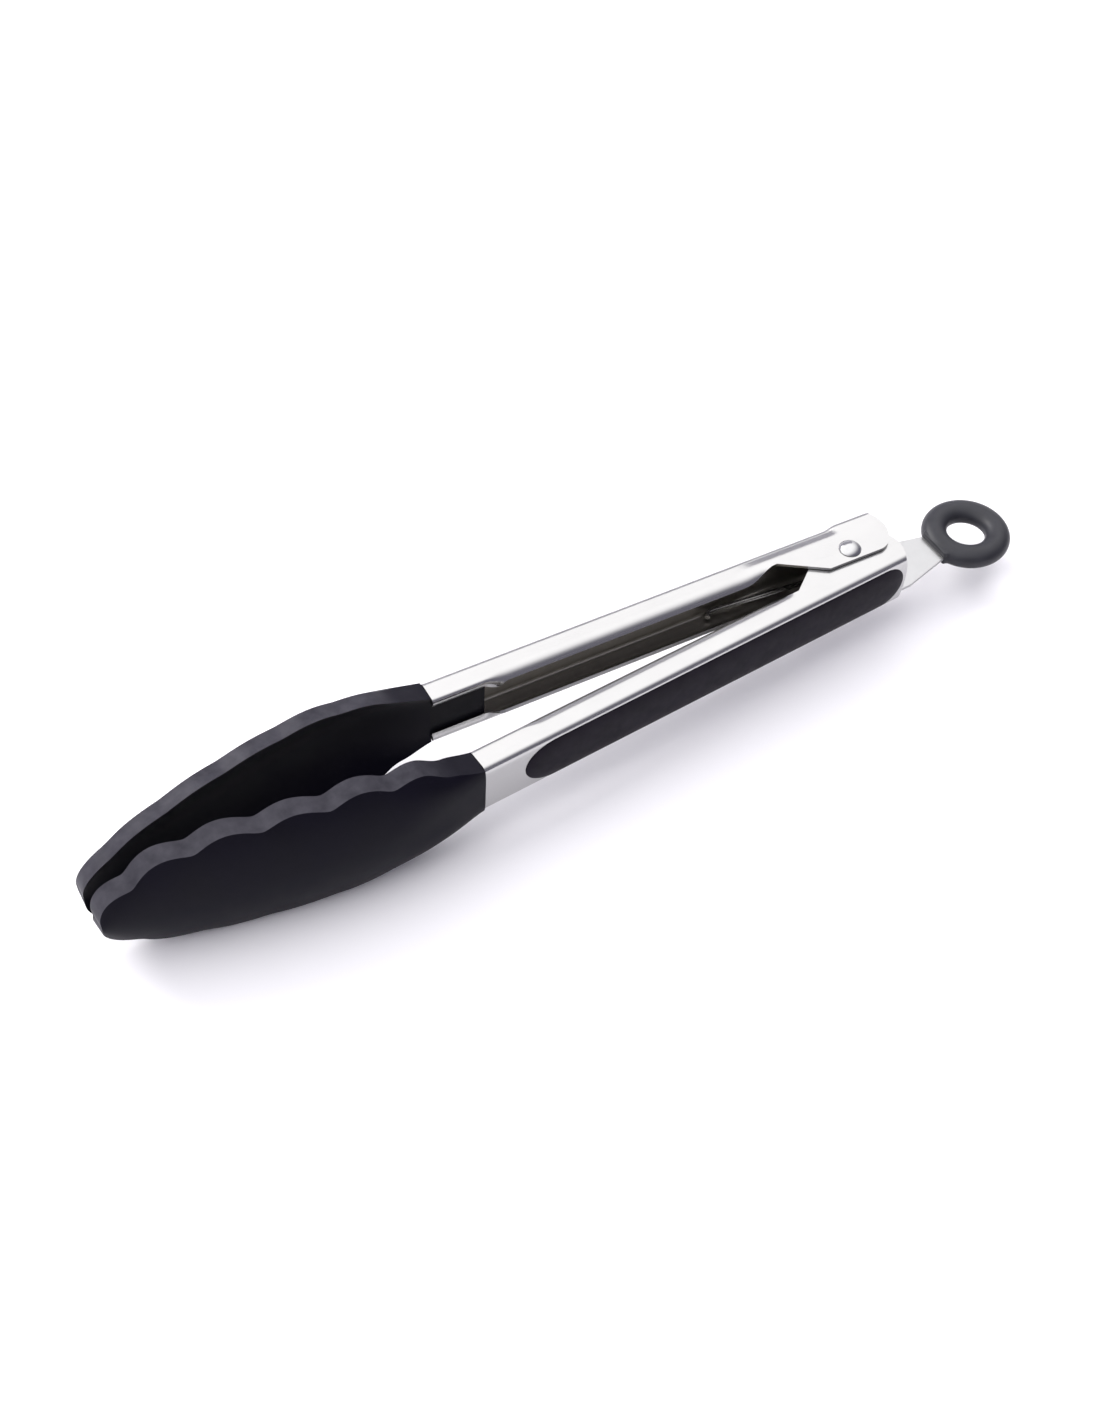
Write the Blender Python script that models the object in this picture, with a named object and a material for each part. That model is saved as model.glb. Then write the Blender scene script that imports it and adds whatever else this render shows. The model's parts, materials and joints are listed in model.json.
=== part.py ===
"""Spring loaded kitchen tongs with a pull-ring lock.

Two stamped steel channels turn on one rivet.  Each carries a soft grip pad on
its back and a scalloped silicone head moulded over a stiff nylon core.  A
torsion spring round the rivet pushes the arms apart.  A tapered steel plate
slides on the rivet between the arms' tails: pulled out by its hang ring it
wedges the tongs shut, pushed in it lets them open.

The model lies on its side.  +X runs along the tongs towards the hang ring, +Y
towards the far arm, +Z along the rivet.  Shapes of an arm are drawn in the
arm's own frame: u runs from the rivet to the head, q from the rivet's plane
out through the arm's back, z along the rivet.
"""
import math

import bmesh
import bpy
from mathutils import Vector

MM = 0.001

# ---- driving dimensions -------------------------------------------------
ARM_LENGTH = 124.0 * MM         # rivet to the steel's head end
TAIL_ARC = (4.8 * MM, 4.1 * MM, 9.0 * MM)   # ears' round tails: centre u, centre q, radius
TAIL_BULGE = 1.6 * MM           # the back sheet's end stands out this much in its middle
TAIL_START = -2.0 * MM          # where the sections start to fan out to the round tail
BACK_OFFSET = 10.5 * MM         # rivet plane to the outside of an arm's back
CHANNEL_HALF = 8.25 * MM        # half the channel's width, outside
SHEET = 0.8 * MM                # steel thickness
FLANGE_DEPTH = 6.4 * MM         # flat side walls where the ears start
BEND_RADIUS = 1.8 * MM          # back bend, outside
REST_HALF_ANGLE = math.radians(2.75)

# Rolled edge of the side walls: start over the rivet plane, radius, turn, straight rest.
OPEN_ROLL = (5.3 * MM, 3.0 * MM, math.radians(58.0), 0.65 * MM)
CRIMPED_ROLL = (4.4 * MM, 1.2 * MM, math.radians(115.0), 1.25 * MM)
CRIMP_START = 103.0 * MM        # the roll is pressed down on the head's tang beyond this
CRIMP_RUN = 6.5 * MM

EAR_DEPTH = 14.3 * MM           # hinge ears, from the arm's back
SHOULDER_START = 20.8 * MM      # where the side walls start to widen into ears
SHOULDER_END = 8.8 * MM         # where the ears reach their full depth
EAR_CORNER = 1.2 * MM           # rounding of the ears' free tail corner
EAR_STEP = 1.0 * MM             # far ears stand this much outside the near ones
STEP_RUN = 12.0 * MM            # length over which the raised wall sinks back

HEAD_LENGTH = 97.4 * MM
HEAD_HALF_WIDTH = 18.3 * MM
NECK_HALF_WIDTH = 8.5 * MM
RIM_NECK = 3.9 * MM             # rim's height over the rivet plane at the neck
RIM_DROP = 12.45 * MM           # how far the rim curves in towards the tip
RIM_WIDTH = 4.95 * MM           # flat edge face of the rim
NECK_SIDE = 6.6 * MM            # the side walls' width where they meet the channel
SPINE_NECK = 10.95 * MM         # outside of the head's back at the neck
SPINE_DROP = 10.6 * MM
SPINE_HUMP = 20.5 * MM
WALL = 3.8 * MM                 # head wall: silicone, core and silicone
SCALLOPS_PER_SIDE = 6.47
SCALLOP_PHASE = 1.09
SCALLOP_HEIGHT = 1.16 * MM
SCALLOP_LEAN = math.radians(61.0)   # the rim's waves lean this far off the closing direction
VALLEY_ROUND = 0.05             # 0 gives sharp valleys

TANG_LENGTH = 15.5 * MM         # core inside the channel
TANG_FRONT = 4.75 * MM          # its open face over the rivet plane
CORE_COVER = 1.2 * MM           # silicone over the core
CORE_CHAMFER = 0.5 * MM
FIT_GAP = 0.15 * MM             # between pieces that touch

GRIP_HEAD_END = 112.0 * MM
GRIP_TAIL_END = -11.7 * MM
GRIP_HALF_WIDTH = 6.8 * MM
GRIP_HEIGHT = 1.0 * MM
GRIP_POINT = 1.35               # the head end is a half ellipse, this much longer than round

SHANK_RADIUS = 1.8 * MM
RIVET_HEAD_RADIUS = 3.05 * MM
RIVET_HEAD_HEIGHT = 1.4 * MM
HOLE_CLEARANCE = 0.1 * MM
SLEEVE_RADIUS = 2.9 * MM

PLATE_THICKNESS = 0.8 * MM
PLATE_TRAVEL = 13.0 * MM        # slide between locked and open
PLATE_SHOULDER = 8.4 * MM       # half width where it wedges between the tails
PLATE_RING_END = 4.9 * MM       # half width where it meets the hang ring
SLOT_HALF_WIDTH = 2.1 * MM
TAPER_START = 13.5 * MM
TAPER_KNEE = (20.0 * MM, 7.4 * MM)
TAPER_END = 32.0 * MM
TONGUE_END = 35.5 * MM          # tongue moulded into the ring
TONGUE_HALF_WIDTH = 3.6 * MM

RING_CENTRE = 44.0 * MM
RING_RADIUS = 9.0 * MM          # to the middle of the ring's section
RING_HALF_RADIAL = 3.6 * MM
RING_HALF_THICK = 3.0 * MM

WIRE_RADIUS = 0.75 * MM
COIL_RADIUS = 4.8 * MM          # to the wire's middle
COIL_TURNS = 5.5
COIL_TOP = 4.4 * MM
COIL_BOTTOM = -5.0 * MM
LEG_LENGTH = 38.0 * MM
LEG_CLEARANCE = 0.3 * MM

# ---- levels and places worked out from them -------------------------------
FREE_EDGE = BACK_OFFSET - FLANGE_DEPTH
EAR_EDGE = BACK_OFFSET - EAR_DEPTH
NEAR_EAR_INSIDE = CHANNEL_HALF - SHEET
FAR_EAR_OUTSIDE = CHANNEL_HALF + EAR_STEP
PLATE_BOTTOM = -NEAR_EAR_INSIDE + 3 * FIT_GAP
PLATE_TOP = PLATE_BOTTOM + PLATE_THICKNESS
PLATE_LEVEL = (PLATE_BOTTOM + PLATE_TOP) / 2
SCALLOP_CREST = SCALLOP_HEIGHT * 0.73
RING_END = RING_CENTRE + RING_RADIUS + RING_HALF_RADIAL
HEAD_TIP = ARM_LENGTH + HEAD_LENGTH
PIVOT_X = (HEAD_TIP - RING_END) / 2
PIVOT_Z = HEAD_HALF_WIDTH + SCALLOP_CREST * math.sin(SCALLOP_LEAN)

COLOURS = {
    "steel": ((0.72, 0.71, 0.70), 0.28, 1.0),
    "polished_steel": ((0.80, 0.80, 0.80), 0.12, 1.0),
    "spring_steel": ((0.62, 0.61, 0.59), 0.22, 1.0),
    "silicone": ((0.022, 0.021, 0.030), 0.55, 0.0),
    "nylon": ((0.030, 0.029, 0.038), 0.42, 0.0),
    "grip_rubber": ((0.018, 0.017, 0.021), 0.60, 0.0),
    "ring_rubber": ((0.060, 0.062, 0.072), 0.62, 0.0),
}


# ---- helpers ---------------------------------------------------------------
def clear_scene():
    for old in list(bpy.data.objects):
        bpy.data.objects.remove(old, do_unlink=True)


def material(name):
    colour, roughness, metallic = COLOURS[name]
    mat = bpy.data.materials.get(name) or bpy.data.materials.new(name)
    mat.use_nodes = True
    shader = mat.node_tree.nodes["Principled BSDF"]
    shader.inputs["Base Color"].default_value = (*colour, 1.0)
    shader.inputs["Roughness"].default_value = roughness
    shader.inputs["Metallic"].default_value = metallic
    return mat


def new_object(name, mesh, finish, parent, smooth_angle=35.0):
    """An object on its joint's empty, with its finish and smooth round faces."""
    obj = bpy.data.objects.new(name, mesh)
    bpy.context.collection.objects.link(obj)
    obj.parent = parent
    if finish:
        mesh.materials.append(material(finish))
    mesh.shade_smooth()
    mesh.set_sharp_from_angle(angle=math.radians(smooth_angle))
    return obj


def mesh_from(name, verts, faces):
    bm = bmesh.new()
    points = [bm.verts.new(v) for v in verts]
    for face in faces:
        bm.faces.new([points[i] for i in face])
    bmesh.ops.recalc_face_normals(bm, faces=bm.faces)
    mesh = bpy.data.meshes.new(name)
    bm.to_mesh(mesh)
    bm.free()
    return mesh


def loft(name, rings, strip_ends=False):
    """One closed skin over rings of equally many points.

    The ends are flat caps, or strips of quads where a ring runs out along one
    side of a bent sheet and back along the other.
    """
    count = len(rings[0])
    verts = [point for ring in rings for point in ring]
    faces = []
    for base in (0, len(verts) - count):
        if strip_ends:
            faces += [[base + i, base + i + 1, base + count - 2 - i, base + count - 1 - i]
                      for i in range(count // 2 - 1)]
        else:
            faces.append(list(range(base, base + count)))
    for r in range(len(rings) - 1):
        for i in range(count):
            j = (i + 1) % count
            faces.append([r * count + i, r * count + j, (r + 1) * count + j, (r + 1) * count + i])
    return mesh_from(name, verts, faces)


def torus(name, centre, radius, half_radial, half_thick, segments, sides):
    """A ring with an oval section, lying flat."""
    verts = []
    for i in range(segments):
        turn = math.tau * i / segments
        for k in range(sides):
            roll = math.tau * k / sides
            reach = radius + half_radial * math.cos(roll)
            verts.append((centre[0] + reach * math.cos(turn), centre[1] + reach * math.sin(turn),
                          centre[2] + half_thick * math.sin(roll)))
    faces = []
    for i in range(segments):
        for k in range(sides):
            a, b = i * sides, (i + 1) % segments * sides
            n = (k + 1) % sides
            faces.append([a + k, b + k, b + n, a + n])
    return mesh_from(name, verts, faces)


def lathe(name, profile, segments):
    """Turn a closed (radius, z) profile round the rivet axis; radius 0 gives a pole."""
    bm = bmesh.new()
    rings = []
    for radius, z in profile:
        if radius == 0:
            rings.append([bm.verts.new((0, 0, z))])
        else:
            rings.append([bm.verts.new((radius * math.cos(math.tau * i / segments),
                                        radius * math.sin(math.tau * i / segments), z))
                          for i in range(segments)])
    pairs = list(zip(rings, rings[1:]))
    if len(rings[0]) > 1:
        pairs.append((rings[-1], rings[0]))
    for low, high in pairs:
        for i in range(segments):
            j = (i + 1) % segments
            corners = [low[i % len(low)], low[j % len(low)], high[j % len(high)], high[i % len(high)]]
            bm.faces.new(list(dict.fromkeys(corners)))
    bmesh.ops.recalc_face_normals(bm, faces=bm.faces)
    mesh = bpy.data.meshes.new(name)
    bm.to_mesh(mesh)
    bm.free()
    return mesh


def prism(name, outline, low, high):
    """Extrude a flat (x, y) outline from z low to z high."""
    rings = [[(x, y, z) for x, y in outline] for z in (low, high)]
    return loft(name, rings)


def stadium(x0, x1, half_width, steps, point=1.0):
    """Outline with two half-round ends, from x0 to x1 over all; point stretches the x1 end."""
    outline = []
    for end, way, start, reach in ((x1, 1, -90, point), (x0, -1, 90, 1.0)):
        for i in range(steps + 1):
            a = math.radians(start + 180 * i / steps)
            outline.append((end + half_width * reach * (math.cos(a) - way), half_width * math.sin(a)))
    return outline


def boolean(obj, mesh, operation, parent):
    """Cut or join with a hidden helper mesh."""
    helper = bpy.data.objects.new(mesh.name, mesh)
    bpy.context.collection.objects.link(helper)
    helper.parent = parent
    helper.hide_render = True
    helper.display_type = 'WIRE'
    step = obj.modifiers.new(mesh.name, 'BOOLEAN')
    step.operation = operation
    step.object = helper


def smoothstep(t):
    t = min(max(t, 0.0), 1.0)
    return t * t * (3 - 2 * t)


def mix(a, b, t):
    return a + (b - a) * t


def in_arm(side, u, q, z):
    """Arm frame to the arm empty's axes; side is -1 on the near arm, +1 on the far one."""
    return Vector((-u, side * q, z))


# ---- steel channel ---------------------------------------------------------
def tail_reach(q, z):
    """Distance from the rivet to the sheet's tail end at a point of the section."""
    centre_u, centre_q, radius = TAIL_ARC
    middle = 1 - min(abs(z) / CHANNEL_HALF, 1.0) ** 3
    return centre_u + math.sqrt(radius ** 2 - (q - centre_q) ** 2) + TAIL_BULGE * middle


def free_edge(u):
    """Distance of a side wall's free edge from the rivet plane."""
    if u >= SHOULDER_START:
        return FREE_EDGE
    if u >= SHOULDER_END:
        along = (SHOULDER_START - u) / (SHOULDER_START - SHOULDER_END)
        return mix(FREE_EDGE, EAR_EDGE, along)
    corner = EAR_CORNER - tail_reach(EAR_EDGE, CHANNEL_HALF)
    over = min(max((corner - u) / EAR_CORNER, 0.0), 1.0)
    return EAR_EDGE + EAR_CORNER * (1 - math.sqrt(1 - over * over))


def rolled_edge(crimped, level):
    """Outside and inside points of a side wall's rolled edge, from its start to its tip."""
    start, radius, turn, rest = (mix(a, b, crimped) for a, b in zip(OPEN_ROLL, CRIMPED_ROLL))
    outer, inner = [], []
    for points, r in ((outer, radius), (inner, radius - SHEET)):
        for i in range(4):
            a = turn * i / 3
            points.append((start - r * math.sin(a), level - radius + r * math.cos(a)))
        q, z = points[-1]
        points.append((q - rest * math.cos(turn), z - rest * math.sin(turn)))
    return outer, inner


def half_section(u, step):
    """(q, z) points of the channel's upper half, from its back to its edge: outside, inside."""
    edge = free_edge(u)
    rolled = smoothstep((u - SHOULDER_START - 1.5 * MM) / (4 * MM))
    crimped = smoothstep((u - CRIMP_START) / CRIMP_RUN)
    ear_up = step * (1 - smoothstep((u - SHOULDER_START - 1.0 * MM) / STEP_RUN))
    back_up = step * (1 - smoothstep((u + 2 * MM) / (4 * MM)))

    def wall(thickness):
        """Back bend and side wall, one sheet thickness in or out."""
        r = BEND_RADIUS - thickness
        top = CHANNEL_HALF - BEND_RADIUS + back_up
        points = []
        for degrees in (0, 30, 60, 90):
            a = math.radians(degrees)
            points.append((BACK_OFFSET - BEND_RADIUS + r * math.cos(a), top + r * math.sin(a)))
        points.append((BACK_OFFSET - BEND_RADIUS - 0.3 * MM, CHANNEL_HALF - thickness + back_up))
        points.append((BACK_OFFSET - BEND_RADIUS - 1.0 * MM, CHANNEL_HALF - thickness + ear_up))
        points.append((OPEN_ROLL[0] + 0.1 * MM, CHANNEL_HALF - thickness + ear_up))
        return points

    level = CHANNEL_HALF + ear_up
    outer, inner = rolled_edge(crimped, level)
    flat = [mix(OPEN_ROLL[0], edge, (i + 1) / len(outer)) for i in range(len(outer))]
    square_outer = [(q, level) for q in flat]
    square_inner = [(q, level - SHEET) for q in flat]

    def blend(square, bent):
        return [(mix(s[0], b[0], rolled), mix(s[1], b[1], rolled)) for s, b in zip(square, bent)]

    return wall(0) + blend(square_outer, outer), wall(SHEET) + blend(square_inner, inner)


def channel_stations():
    """Where the section changes: crimp, shoulder, step in the ears, and round tail."""
    stations = [ARM_LENGTH]
    stations += [CRIMP_START + CRIMP_RUN * part for part in (1, 0.8, 0.6, 0.4, 0.2, 0)]
    stations += [SHOULDER_START + d * MM for d in (13, 10, 7, 5.5, 4.2, 3.0, 1.8, 0.6, 0)]
    stations += [SHOULDER_END, 2 * MM, 1 * MM, 0, -1 * MM, TAIL_START]
    tail = -tail_reach(EAR_EDGE, CHANNEL_HALF)
    stations.append(mix(TAIL_START, tail, 0.5))
    for angle in (0, 30, 60, 90):
        stations.append(tail + EAR_CORNER * (1 - math.sin(math.radians(angle))))
    return stations


def channel_ring(side, u, step):
    """The section at a station; past the ears' middle the rings fan out to the round tail."""
    outside, inside = half_section(u, step)
    tail = -tail_reach(EAR_EDGE, CHANNEL_HALF)
    along = (TAIL_START - u) / (TAIL_START - tail)
    upper = []
    for outer, inner in zip(outside, inside):
        place = u if along <= 0 else mix(TAIL_START, -tail_reach(*outer), along)
        upper.append((place, outer, inner))
    strip = [(place, (o[0], -o[1]), (i[0], -i[1])) for place, o, i in reversed(upper)] + upper
    ring = [in_arm(side, place, *outer) for place, outer, _ in strip]
    return ring + [in_arm(side, place, *inner) for place, _, inner in reversed(strip)]


def arm_channel(name, side, arm):
    step = EAR_STEP if side > 0 else 0.0
    rings = [channel_ring(side, u, step) for u in channel_stations()]
    obj = new_object(name, loft(name, rings, strip_ends=True), "steel", arm)
    hole = SHANK_RADIUS + HOLE_CLEARANCE
    reach = FAR_EAR_OUTSIDE + 1 * MM
    drill = lathe(name + "_drill", [(0, -reach), (hole, -reach), (hole, reach), (0, reach)], 24)
    boolean(obj, drill, 'DIFFERENCE', arm)
    return obj


# ---- grip pad ----------------------------------------------------------------
def grip_insert(name, side, arm):
    """Round-ended pad on the arm's back, with a softly crowned face."""
    layers = ((0, 0), (0.05, 0.12), (0.5, 0.35), (1.4, 0.60), (2.8, 0.84), (4.8, 1.0))
    base = BACK_OFFSET + FIT_GAP / 2
    rings = []
    for inset_mm, rise in layers:
        inset = inset_mm * MM
        outline = stadium(GRIP_TAIL_END + inset, GRIP_HEAD_END - inset, GRIP_HALF_WIDTH - inset, 10,
                          GRIP_POINT)
        rings.append([in_arm(side, u, base + GRIP_HEIGHT * rise, z) for u, z in outline])
    return new_object(name, loft(name, rings), "grip_rubber", arm, 50.0)


# ---- head ----------------------------------------------------------------------
def head_half_width(s):
    """Half width of the rim's outline; s runs from 0 at the neck to 1 at the tip."""
    flare = min(s / 0.42, 1.0)
    body = mix(NECK_HALF_WIDTH, HEAD_HALF_WIDTH, 1 - (1 - flare ** 1.2) ** 2.5)
    nose = max((s - 0.45) / 0.55, 0.0)
    return body * (1 - nose ** 4) ** 0.75


def rim_front(s):
    return RIM_NECK - RIM_DROP * smoothstep(s) ** 1.65


def spine_back(s):
    return SPINE_NECK - SPINE_DROP * smoothstep(s) ** 1.3 + SPINE_HUMP * s * (1 - s) ** 1.8


def bowl_curve(s, v):
    """1 on the spine, 0 on the rim: box-like at the neck, a shallow bowl beyond it."""
    power = mix(6.0, 2.1, smoothstep(s / 0.3))
    return (1 - min(abs(v), 1.0) ** power) * math.sqrt(max(1 - s ** 6, 0.0))


def head_outside(s, v):
    back = rim_front(s) + mix(NECK_SIDE, RIM_WIDTH, smoothstep(s / 0.16))
    return back + (spine_back(s) - back) * bowl_curve(s, v)


def head_inside(s, v):
    hollow = (spine_back(s) - WALL - rim_front(s)) * smoothstep(s / 0.25)
    return rim_front(s) + hollow * bowl_curve(s, v)


def rim_waves(fractions):
    """Per station: how far the rim waves out, and the outline's normal (along u, along z)."""
    points = [(HEAD_LENGTH * s, head_half_width(s)) for s in fractions]
    run = [0.0]
    for a, b in zip(points, points[1:]):
        run.append(run[-1] + math.dist(a, b))
    waves = []
    for i, length in enumerate(run):
        along = length / run[-1]
        phase = SCALLOPS_PER_SIDE * along - SCALLOP_PHASE
        crest = math.sqrt((math.cos(math.pi * phase) ** 2 + VALLEY_ROUND) / (1 + VALLEY_ROUND))
        lift = SCALLOP_HEIGHT * (2 * crest - 1.27) * smoothstep((along - 0.05) / 0.12)
        a, b = points[max(i - 1, 0)], points[min(i + 1, len(points) - 1)]
        span = math.dist(a, b)
        waves.append((lift, (a[1] - b[1]) / span, (b[0] - a[0]) / span))
    return waves


def head_shell(name, side, arm):
    """Silicone skin with a scalloped rim and a pocket for the core."""
    stations = 58
    last = 0.965
    fractions = [1 - (1 - last * i / stations) ** 2 for i in range(stations + 1)]
    across = [math.sin(math.radians(a)) for a in (-90, -68, -50, -32, -11, 11, 32, 50, 68, 90)]
    rings = []
    for s, (lift, along_u, along_z) in zip(fractions, rim_waves(fractions)):
        half = head_half_width(s)
        nose = smoothstep((s - 0.93) / 0.07)
        ring = []
        for surface, order in ((head_outside, across), (head_inside, across[::-1])):
            for v in order:
                edge = abs(v) ** 8
                spread = lift * math.sin(SCALLOP_LEAN)
                u = ARM_LENGTH + FIT_GAP + HEAD_LENGTH * s + spread * along_u * max(edge, nose)
                z = math.copysign(half * abs(v) + spread * along_z * edge, v)
                q = surface(s, v) - lift * math.cos(SCALLOP_LEAN) * max(edge, nose)
                ring.append(in_arm(side, u, q, z))
        rings.append(ring)
    obj = new_object(name, loft(name, rings), "silicone", arm, 40.0)
    pocket = loft(name + "_pocket", core_rings(side, 2 * FIT_GAP))
    boolean(obj, pocket, 'DIFFERENCE', arm)
    return obj


def core_rings(side, grow):
    """Tang in the channel, then a blade that follows the middle of the head's wall."""
    tang_back = BACK_OFFSET - SHEET - FIT_GAP
    tang_half = CHANNEL_HALF - SHEET - FIT_GAP
    across = [-1, -0.9, -0.65, -0.3, 0.3, 0.65, 0.9, 1]
    fractions = [-TANG_LENGTH / HEAD_LENGTH, -0.005, 0.02, 0.05, 0.09, 0.14, 0.2, 0.3, 0.42, 0.55, 0.66]
    fractions += [0.66 + 0.22 * math.sin(math.radians(a)) for a in (30, 50, 66, 78)]
    rings = []
    for s in fractions:
        inside_head = smoothstep(s / 0.14)
        round_end = math.sqrt(1 - min(max((s - 0.66) / 0.22, 0.0), 1.0) ** 2)
        width = head_half_width(max(s, 0.0))
        half = mix(tang_half, (width - 3.2 * MM) * round_end, smoothstep(s / 0.2)) + grow
        ring = []
        for surface, cover, flat, order in ((head_outside, -CORE_COVER, tang_back, across),
                                            (head_inside, CORE_COVER, TANG_FRONT, across[::-1])):
            for w in order:
                z = half * w
                q = mix(flat, surface(max(s, 0.0), z / width) + cover, inside_head)
                if abs(w) == 1:
                    q += math.copysign(CORE_CHAMFER, cover)
                ring.append(in_arm(side, ARM_LENGTH + HEAD_LENGTH * s, q - math.copysign(grow, cover), z))
        rings.append(ring)
    rings[-1] = [p - Vector((grow, 0, 0)) for p in rings[-1]]
    return rings


def head_core(name, side, arm):
    return new_object(name, loft(name, core_rings(side, 0.0)), "nylon", arm, 40.0)


# ---- pivot ---------------------------------------------------------------------
def dome(radius, height, steps):
    """(radius, rise) points of a low dome from its edge to its pole."""
    points = []
    for i in range(steps + 1):
        a = math.radians(90 * i / steps)
        points.append((radius * math.cos(a) if i < steps else 0, height * math.sin(a)))
    return points


def pivot_rivet(pivot):
    seat = FAR_EAR_OUTSIDE + FIT_GAP / 2
    cap = dome(RIVET_HEAD_RADIUS, RIVET_HEAD_HEIGHT, 5)
    profile = [(r, -seat - rise) for r, rise in cap][::-1]
    profile += [(SHANK_RADIUS, -seat), (SHANK_RADIUS, seat)]
    profile += [(r, seat + rise) for r, rise in cap]
    return new_object("pivot_rivet", lathe("pivot_rivet", profile, 24), "polished_steel", pivot)


def spacer_sleeve(pivot):
    """Tube that keeps the ears apart and centres the coil."""
    low = PLATE_TOP + 2 * FIT_GAP
    high = NEAR_EAR_INSIDE - 2 * FIT_GAP
    bore = SHANK_RADIUS + HOLE_CLEARANCE
    profile = [(bore, low), (SLEEVE_RADIUS, low), (SLEEVE_RADIUS, high), (bore, high)]
    return new_object("spacer_sleeve", lathe("spacer_sleeve", profile, 20), "steel", pivot)


def spring_leg(side, level, drop):
    """Straight leg from the coil's side to the inside of an arm, with a short hook."""
    reach = BACK_OFFSET - SHEET - LEG_CLEARANCE - WIRE_RADIUS
    turn = REST_HALF_ANGLE
    end = Vector((-LEG_LENGTH * math.cos(turn) + reach * math.sin(turn),
                  side * (LEG_LENGTH * math.sin(turn) + reach * math.cos(turn)), level - drop))
    hook = end + Vector((-1.2 * MM, -side * 1.6 * MM, 0))
    return [hook, end]


def torsion_spring(pivot):
    """Close-wound coil; its top leg bears on the near arm, its bottom leg on the far one."""
    steps = int(COIL_TURNS * 14)
    path = spring_leg(-1, COIL_TOP, 0)
    for i in range(steps + 1):
        part = i / steps
        a = -math.pi / 2 + math.tau * COIL_TURNS * part
        path.append(Vector((COIL_RADIUS * math.cos(a), COIL_RADIUS * math.sin(a),
                            mix(COIL_TOP, COIL_BOTTOM, part))))
    path += spring_leg(1, COIL_BOTTOM, 0.9 * MM)[::-1]
    curve = bpy.data.curves.new("torsion_spring_path", 'CURVE')
    curve.dimensions = '3D'
    curve.bevel_depth = WIRE_RADIUS
    curve.bevel_resolution = 1
    curve.use_fill_caps = True
    line = curve.splines.new('POLY')
    line.points.add(len(path) - 1)
    for point, place in zip(line.points, path):
        point.co = (*place, 1.0)
    curve.materials.append(material("spring_steel"))
    obj = bpy.data.objects.new("torsion_spring", curve)
    bpy.context.collection.objects.link(obj)
    obj.parent = pivot
    return obj


# ---- lock ------------------------------------------------------------------------
def plate_outline():
    """Right-hand side from the inner end to the tongue; mirrored for the left."""
    side = [(-5.2 * MM, 3.6 * MM), (-4.0 * MM, 4.8 * MM), (6.5 * MM, 5.6 * MM), (9.6 * MM, 7.9 * MM)]
    side += [(10.6 * MM, PLATE_SHOULDER), (TAPER_START, PLATE_SHOULDER), TAPER_KNEE]
    side.append((TAPER_END, PLATE_RING_END))
    side += [(TAPER_END, TONGUE_HALF_WIDTH), (TONGUE_END, TONGUE_HALF_WIDTH)]
    return side + [(x, -y) for x, y in reversed(side)]


def lock_plate(carriage):
    obj = new_object("lock_plate", prism("lock_plate", plate_outline(), PLATE_BOTTOM, PLATE_TOP),
                     "steel", carriage)
    slack = 0.3 * MM
    slot = stadium(-SLOT_HALF_WIDTH - slack, PLATE_TRAVEL + SLOT_HALF_WIDTH + slack, SLOT_HALF_WIDTH, 8)
    boolean(obj, prism("lock_plate_slot", slot, PLATE_BOTTOM - MM, PLATE_TOP + MM), 'DIFFERENCE', carriage)
    return obj


def hang_ring(carriage):
    """Soft ring, squared off by a moulded boss that grips the plate's tongue."""
    centre = (RING_CENTRE, 0, PLATE_LEVEL)
    mesh = torus("hang_ring", centre, RING_RADIUS, RING_HALF_RADIAL, RING_HALF_THICK, 36, 14)
    obj = new_object("hang_ring", mesh, "ring_rubber", carriage, 60.0)
    face = TAPER_END + FIT_GAP
    boss = [(face, -5.0 * MM), (36.5 * MM, -6.2 * MM), (36.5 * MM, 6.2 * MM), (face, 5.0 * MM)]
    boolean(obj, prism("hang_ring_boss", boss, PLATE_LEVEL - 2.0 * MM, PLATE_LEVEL + 2.0 * MM),
            'UNION', carriage)
    front = [(face - 3 * MM, -8 * MM), (face, -8 * MM), (face, 8 * MM), (face - 3 * MM, 8 * MM)]
    boolean(obj, prism("hang_ring_front", front, PLATE_LEVEL - 4 * MM, PLATE_LEVEL + 4 * MM),
            'DIFFERENCE', carriage)
    half = TONGUE_HALF_WIDTH + FIT_GAP
    pocket = [(TAPER_END - MM, -half), (TONGUE_END + FIT_GAP, -half),
              (TONGUE_END + FIT_GAP, half), (TAPER_END - MM, half)]
    boolean(obj, prism("hang_ring_pocket", pocket, PLATE_BOTTOM - FIT_GAP, PLATE_TOP + FIT_GAP),
            'DIFFERENCE', carriage)
    return obj


# ---- assembly --------------------------------------------------------------------
def joint_empty(name, angle, parent=None):
    """Empty on the rivet axis, turned about it."""
    empty = bpy.data.objects.new(name, None)
    bpy.context.collection.objects.link(empty)
    if parent is None:
        empty.location = (PIVOT_X, 0, PIVOT_Z)
    empty.parent = parent
    empty.rotation_euler = (0, 0, angle)
    return empty


def build():
    clear_scene()
    pivot = joint_empty("pivot_axis", 0.0)
    carriage = joint_empty("lock_slide", 0.0, pivot)
    arms = {"near": (-1, joint_empty("near_arm_axis", REST_HALF_ANGLE, pivot)),
            "far": (1, joint_empty("far_arm_axis", -REST_HALF_ANGLE, pivot))}
    for word, (side, arm) in arms.items():
        arm_channel(word + "_arm_channel", side, arm)
        grip_insert(word + "_grip_insert", side, arm)
        head_core(word + "_head_core", side, arm)
        head_shell(word + "_head_shell", side, arm)
    pivot_rivet(pivot)
    spacer_sleeve(pivot)
    torsion_spring(pivot)
    lock_plate(carriage)
    hang_ring(carriage)


build()
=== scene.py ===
"""Looks of the spring loaded kitchen tongs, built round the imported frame."""
import json
import math

import bmesh
import bpy
from mathutils import Matrix, Vector


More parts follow.
